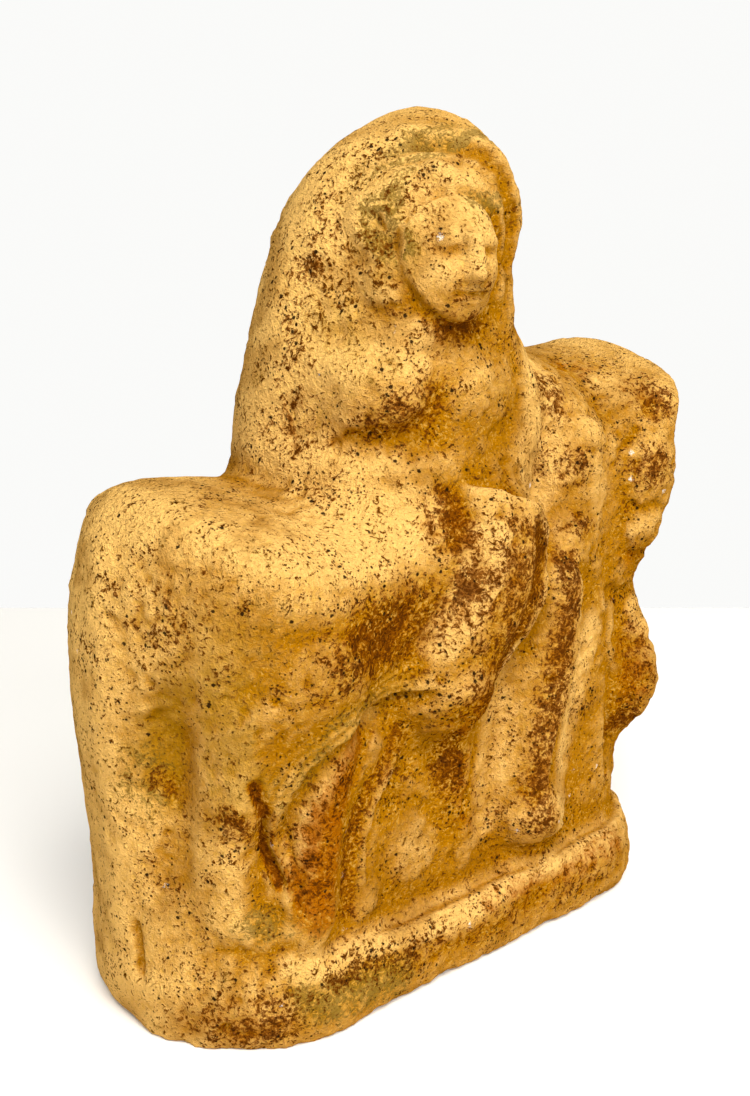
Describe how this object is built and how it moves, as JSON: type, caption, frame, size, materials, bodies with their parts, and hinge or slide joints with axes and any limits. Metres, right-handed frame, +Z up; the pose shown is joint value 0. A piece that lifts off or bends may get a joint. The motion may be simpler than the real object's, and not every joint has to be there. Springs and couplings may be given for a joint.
{
  "type": "terracotta horse rider figurine",
  "caption": "Mould-made terracotta figurine of a veiled woman riding side-saddle on a horse, in worn relief on a low plinth, with a flat underside to stand on.",
  "frame": {"origin": "on the surface it stands on, below the centre of its bounding box", "axes": "+Z up, -Y out of the moulded front, +X towards the horse's head"},
  "size_m": [0.1376, 0.0666, 0.165],
  "materials": {
    "terracotta": "matt ochre clay, pitted, with brown and grey-green stains"
  },
  "bodies": {
    "root": {"rider_on_horse": "terracotta"}
  },
  "joints": []
}
